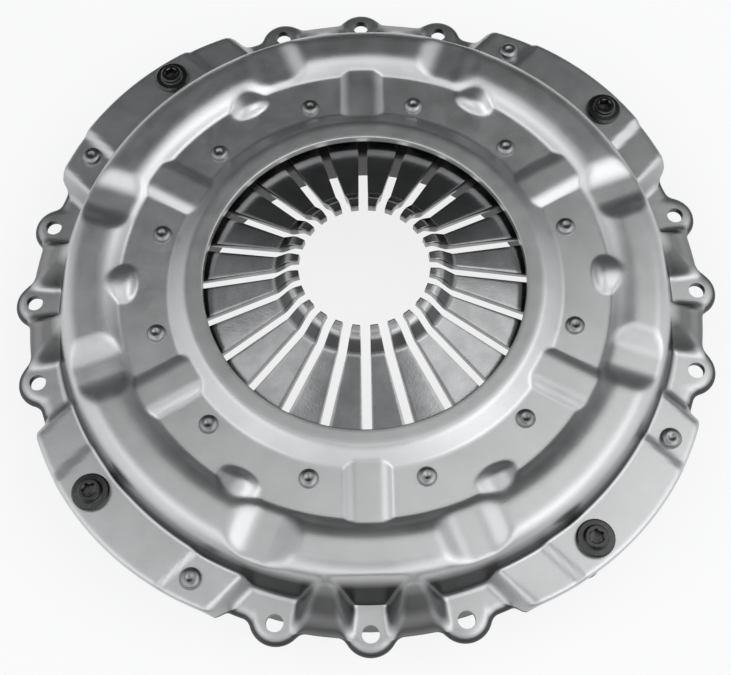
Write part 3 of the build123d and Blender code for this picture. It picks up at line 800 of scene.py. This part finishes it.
def socket_screw():
    """A flanged screw with a hexagon socket in its raised hub."""
    low, high = foot_of("strap_bolts"), top_of("strap_bolts")
    shank_r, flange_r, hub_r = 0.005, 0.012, 0.0073
    mouth_r, chamfer_r, socket_r, socket_half = 0.00475, 0.0043, 0.0042, 0.0040
    seat = SEAT_MID_Z + SCREW_CLEARANCE
    flange_top, socket_floor = seat + 0.0030, high - 0.0058
    profile = [(0, low), (shank_r - 0.0004, low), (shank_r, low + 0.0008), (shank_r, seat),
               (flange_r - 0.0006, seat), (flange_r, seat + 0.0006),
               (flange_r, flange_top - 0.0010), (flange_r - 0.0010, flange_top),
               (hub_r + 0.0008, flange_top + 0.0002), (hub_r, flange_top + 0.0010), (hub_r, high - 0.0009),
               (hub_r - 0.0008, high), (mouth_r, high), (chamfer_r, high - 0.0005), (socket_r, socket_floor),
               (0, socket_floor - 0.0008)]

    def pull(r, z, angle):
        """Draws the socket's round wall into a hexagon."""
        if socket_half < r <= chamfer_r and z > seat:
            return socket_half / cos((angle % (pi / 3)) - pi / 6)
        return r

    return lathe("strap_screw", profile, 48, pull)


def fastener_ring(name, one, ring, count, spot, finish, own_turn=0.0):
    """One fastener, repeated round the axis from a spot given by its radius and angle."""
    outward(one)
    radius, angle = spot
    piece = run_tree(name, ring, {"Count": count, "Radius": float(radius), "First Angle": float(angle),
                                  "Own Turn": own_turn, "Finish": finish}, one)
    crisp(piece, 32)
    return piece


def from_diagonal(spot):
    """Radius and angle of a spot given along and across the first diagonal."""
    return np.hypot(*spot), pi / 4 + np.arctan2(spot[1], spot[0])


def make_fasteners():
    """Rivets and screws, each kind one mesh on its own body."""
    rivet_steel = plain_steel("satin_rivet_steel", grey(0.20), grey(0.34), 0.26, 0.38, 600.0)
    bolt_black = black_oxide()
    ring = ring_tree()
    collar_h, tail_h = 0.004, 0.0035
    fulcrum = rivet_profile(shank_r=0.00425, head_r=0.00625, seat_z=PAD_Z, head_h=0.0032, tail_r=0.010,
                            tail_z=foot_of("fulcrum_rivets") + collar_h, tail_h=collar_h)
    strap = rivet_profile(shank_r=0.0045, head_r=0.0069, seat_z=SEAT_Z, head_h=0.0040, tail_r=0.0075,
                          tail_z=foot_of("strap_rivets") + tail_h, tail_h=tail_h)
    rivets = fastener_ring("fulcrum_rivet_heads", lathe("fulcrum_rivet", fulcrum, 40), ring, 12,
                           (FULCRUM_RIVET_R, pi / 12), rivet_steel)
    strap_rivets = fastener_ring("strap_rivet_heads", lathe("strap_rivet", strap, 40), ring, 4,
                                 from_diagonal(RIVET_AT), rivet_steel)
    screws = fastener_ring("strap_screws", socket_screw(), ring, 4, from_diagonal(BOLT_AT), bolt_black, 0.4)
    for piece, body, node, slot in ((rivets, "cover", "fulcrum_rivets", "rivet_steel"),
                                    (strap_rivets, "cover", "strap_rivets", "rivet_steel"),
                                    (screws, "pressure_plate", "strap_bolts", "black_bolt_steel")):
        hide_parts(node)
        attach(piece, body)


def make_spring():
    """The finger spring, made solid with bevelled edges and carried on the cover's body."""
    piece = run_tree("finger_spring", finger_tree(), {"Fingers": FINGERS, "Finish": spring_steel()})
    thick = piece.modifiers.new("plate", "SOLIDIFY")
    thick.thickness = SPRING_THICKNESS
    thick.offset = 0.0
    thick.use_even_offset = True
    edge = piece.modifiers.new("edges", "BEVEL")
    edge.width = 0.0006
    edge.segments = 2
    edge.limit_method = "ANGLE"
    edge.angle_limit = radians(50)
    apply_modifiers(piece)
    outward(piece)
    crisp(piece, 40)
    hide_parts("diaphragm_spring")
    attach(piece, "cover")
    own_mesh(piece)


def leaf_mesh(name, bolt, rivet, low, high, thickness, width, flat):
    """One strap leaf between a bolt's and a rivet's centre, with round ends and an easy S-bend."""
    bolt, rivet = np.array(bolt), np.array(rivet)
    length = np.linalg.norm(rivet - bolt)
    ahead = (rivet - bolt) / length
    aside = np.array((-ahead[1], ahead[0]))
    half = width / 2
    end_rows, middle_rows, across = 9, 34, (-1, -0.5, 0, 0.5, 1)
    ends = np.sin(np.linspace(-pi / 2, 0, end_rows)) * half
    line = np.concatenate([ends, np.linspace(0, length, middle_rows)[1:-1], length - ends[::-1]])
    vertices, faces = [], []
    for level in (0, thickness):
        for s in line:
            t = np.clip((s - flat) / (length - 2 * flat), 0, 1)
            z = low + (high - low) * (3 * t * t - 2 * t ** 3) + level
            past = max(-s, s - length, 0)
            reach = sqrt(max(half * half - past * past, 1e-8))
            for side in across:
                x, y = bolt + ahead * s + aside * side * reach
                vertices.append((x, y, z))
    rows, cols = len(line), len(across)
    top = rows * cols
    for i in range(rows - 1):
        for j in range(cols - 1):
            a, b = i * cols + j, (i + 1) * cols + j
            faces.append((a, a + 1, b + 1, b))
            faces.append((top + a, top + b, top + b + 1, top + a + 1))
        for j in (0, cols - 1):
            a, b = i * cols + j, (i + 1) * cols + j
            faces.append((a, b, top + b, top + a))
    for i in (0, rows - 1):
        for j in range(cols - 1):
            a = i * cols + j
            faces.append((a, a + 1, top + a + 1, top + a))
    piece = mesh_object(name, vertices, faces)
    outward(piece)
    crisp(piece, 40)
    return piece


def make_straps():
    dark_blue_grey, light_blue_grey = (0.30, 0.32, 0.36, 1), (0.40, 0.42, 0.45, 1)
    finish = plain_steel("blue_grey_spring_strip", dark_blue_grey, light_blue_grey, 0.26, 0.38, 500.0)
    rivets, bolts = on_diagonals(RIVET_AT), on_diagonals(BOLT_AT)
    for pack in range(4):
        for height in ("lower", "middle", "upper"):
            node = f"drive_strap_{pack + 1}_{height}"
            at_bolt, at_rivet = foot_of(node) + LEAF_INSET, top_of(node) - LEAF_THICKNESS + LEAF_INSET
            piece = leaf_mesh(f"strap_leaf_{pack + 1}_{height}", bolts[pack], rivets[pack], at_bolt, at_rivet,
                              LEAF_SHOWN, LEAF_WIDTH, LEAF_FLAT)
            piece.data.materials.append(finish)
            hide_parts(node)
            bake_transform(piece)


def dress_nodes():
    """Finishes for the pieces that are shown as the frame has them."""
    wire = plain_steel("drawn_steel_wire", grey(0.40), grey(0.55), 0.24, 0.36, 800.0)
    sleeve = plain_steel("turned_steel_sleeve", grey(0.35), grey(0.48), 0.28, 0.40, 700.0)
    iron = cast_iron()
    for node, finish in (("upper_fulcrum_ring", wire), ("lower_fulcrum_ring", wire),
                         ("strap_bolt_sleeves", sleeve), ("pressure_plate", iron)):
        piece = frame["nodes"][node]
        piece.data.materials.clear()
        piece.data.materials.append(finish)


# --- Studio ---
def area_light(name, place, size, strength, target):
    """A soft box of the given size whose face shines at the given radiance."""
    lamp = bpy.data.lights.new(name, "AREA")
    lamp.shape = "RECTANGLE"
    lamp.size, lamp.size_y = size
    lamp.energy = strength * size[0] * size[1] * pi
    piece = bpy.data.objects.new(name, lamp)
    piece.location = place
    piece.rotation_euler = (Vector(place) - Vector(target)).to_track_quat("Z", "Y").to_euler()
    bpy.context.scene.collection.objects.link(piece)


def soft_room():
    """A dim room with three smooth glows: high up behind the camera, to the right and to the left."""
    dim, cool_white = 0.07, (0.95, 0.975, 1.0, 1)
    world = bpy.data.worlds.new("soft_room")
    world.use_nodes = True
    room = Nodes(world.node_tree)
    way = room.add("ShaderNodeTexCoord").outputs["Generated"]

    def glow(heading, start, full, strength):
        """Rises smoothly to its strength as the way nears the heading; start and full are cosines."""
        dot = room.add("ShaderNodeVectorMath", {"operation": "DOT_PRODUCT"})
        dot.inputs[1].default_value = Vector(heading).normalized()
        room.join(way, dot.inputs[0])
        return room.span(dot.outputs["Value"], start, full, 0.0, strength, "SMOOTHSTEP")

    high_up = glow((0, 0, 1), 0.28, 0.62, 1.0)
    behind = room.math("MULTIPLY", glow((0.15, -0.80, 0.70), 0.50, 1.0, 0.75), high_up)
    light = room.math("ADD", behind, dim)
    light = room.math("ADD", glow((0.93, -0.15, 0.35), 0.45, 1.0, 0.95), light)
    light = room.math("ADD", glow((-0.93, -0.15, 0.35), 0.45, 1.0, 1.0), light)
    background = world.node_tree.nodes["Background"]
    background.inputs["Color"].default_value = cool_white
    room.join(light, background.inputs["Strength"])
    bpy.context.scene.world = world


def make_studio():
    """The floor, just under the friction face, three soft boxes overhead and one behind the camera."""
    reach, level, ceiling = 40.0, PLATE_FACE_Z - 0.0001, 1.0
    corners = [(x * reach, y * reach, level) for x, y in ((-1, -1), (1, -1), (1, 1), (-1, 1))]
    floor = mesh_object("studio_floor", corners, [(0, 1, 2, 3)])
    floor.data.materials.append(pale_floor())
    soft_room()
    for name, (x, y), size, strength in (("right_box", (0.66, -0.13), (0.70, 1.29), 1.1),
                                         ("left_box", (-0.64, -0.25), (0.64, 0.94), 0.75),
                                         ("middle_box", (0.05, 0.10), (0.60, 0.46), 0.95)):
        area_light(name, (x, y, ceiling), size, strength, (x, y, 0))
    area_light("rear_box", (0, -1.30, 0.75), (1.60, 0.80), 0.6, (0, 0, 0))


def make_camera():
    """Looks down at the clutch from the front, turned and rolled a little; shifts are along its own axes."""
    turn, elevation, roll = radians(0.86), radians(66.595), radians(-1.878)
    distance, right_shift, up_shift = 0.79143, -0.00072, -0.0258
    back = Vector((0, -cos(elevation), sin(elevation)))
    right = Vector((1, 0, 0))
    up = back.cross(right)
    place = right * right_shift + up * up_shift + back * distance
    rolled_right = right * cos(roll) + up * sin(roll)
    rolled_up = up * cos(roll) - right * sin(roll)
    matrix = Matrix((rolled_right, rolled_up, back)).transposed().to_4x4()
    matrix.translation = place
    data = bpy.data.cameras.new("studio_camera")
    data.sensor_width, data.lens = 36.0, 57.034
    camera = bpy.data.objects.new("studio_camera", data)
    camera.matrix_world = Matrix.Rotation(turn, 4, "Z") @ matrix
    bpy.context.scene.collection.objects.link(camera)
    bpy.context.scene.camera = camera


bpy.context.scene.view_settings.view_transform = "Standard"
make_studio()
make_camera()
cover = make_cover()
cover.data.materials.clear()
cover.data.materials.append(pressed_steel())
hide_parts("cover")
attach(cover, "cover")
make_spring()
make_fasteners()
make_straps()
dress_nodes()
